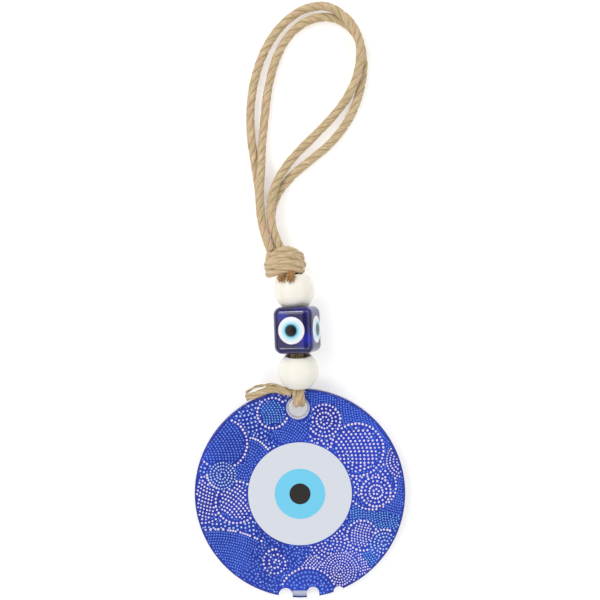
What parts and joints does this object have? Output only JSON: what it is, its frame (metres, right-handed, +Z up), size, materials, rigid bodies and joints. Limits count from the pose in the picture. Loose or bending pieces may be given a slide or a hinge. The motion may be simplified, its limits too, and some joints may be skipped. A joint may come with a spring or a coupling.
{
  "type": "evil eye ornament",
  "caption": "Hanging ornament lying flat: a printed round glass disc with an eye, swinging on a twine sling below three turning beads, with a gathering knot and a doubled hanging loop.",
  "frame": {"origin": "on the table, under the middle of the disc, beads and knot taken together, with the ornament lying on its back", "axes": "+Y from the disc towards the hanging loop, +X to the right as seen with the eye facing the viewer and the loop at the top, +Z up, out of the printed face"},
  "size_m": [0.1, 0.2841, 0.0217],
  "materials": {
    "disc_glass": "fire-polished clear glass, pale lavender, with cobalt ink over its rim",
    "print_ground": "glossy printed ink, cobalt blue ground with rows of pale dots",
    "print_white": "glossy printed ink, pale grey white",
    "print_iris": "glossy printed ink, sky blue",
    "print_pupil": "glossy printed ink, black",
    "bead_white": "glossy cream white glaze",
    "cube_glass": "glossy deep cobalt lampwork glass",
    "eye_white": "opaque white lampwork glass",
    "eye_blue": "opaque pale blue lampwork glass, blending into the white",
    "eye_pupil": "opaque black lampwork glass",
    "twine": "natural jute, laid and hairy"
  },
  "bodies": {
    "cord": {"gathering_knot": "twine", "twine_sling": "twine", "cut_ends": "twine", "loop_turn_a": "twine", "loop_turn_b": "twine", "twine_tail": "twine", "tail_ply": "twine"},
    "upper_bead": {"bead_upper": "bead_white"},
    "cube_bead": {"cube_glass": "cube_glass", "eye_front_white": "eye_white", "eye_front_blue": "eye_blue", "eye_front_pupil": "eye_pupil", "eye_right_white": "eye_white", "eye_right_blue": "eye_blue", "eye_right_pupil": "eye_pupil", "eye_back_white": "eye_white", "eye_back_blue": "eye_blue", "eye_back_pupil": "eye_pupil", "eye_left_white": "eye_white", "eye_left_blue": "eye_blue", "eye_left_pupil": "eye_pupil"},
    "lower_bead": {"bead_lower": "bead_white"},
    "disc": {"disc_glass": "disc_glass", "print_ground": "print_ground", "print_white": "print_white", "print_iris": "print_iris", "print_pupil": "print_pupil"}
  },
  "joints": [
    {"name": "upper_bead_spin", "type": "hinge", "parent": "cord", "child": "upper_bead", "pos_m": [-0.00267, 0.06246, 0.0096], "axis": [-0.0384, 0.9993, 0], "continuous": true},
    {"name": "cube_spin", "type": "hinge", "parent": "cord", "child": "cube_bead", "pos_m": [-0.00127, 0.04415, 0.01087], "axis": [-0.0384, 0.9993, 0], "continuous": true},
    {"name": "lower_bead_spin", "type": "hinge", "parent": "cord", "child": "lower_bead", "pos_m": [-0.00073, 0.02478, 0.0096], "axis": [-0.0377, 0.9825, 0.1822], "continuous": true},
    {"name": "disc_swing", "type": "hinge", "parent": "cord", "child": "disc", "pos_m": [-0.0006, 0.0137, 0.0055], "axis": [1, 0, 0], "range_deg": [-80, 80], "deforming": ["twine_tail", "tail_ply"]}
  ]
}
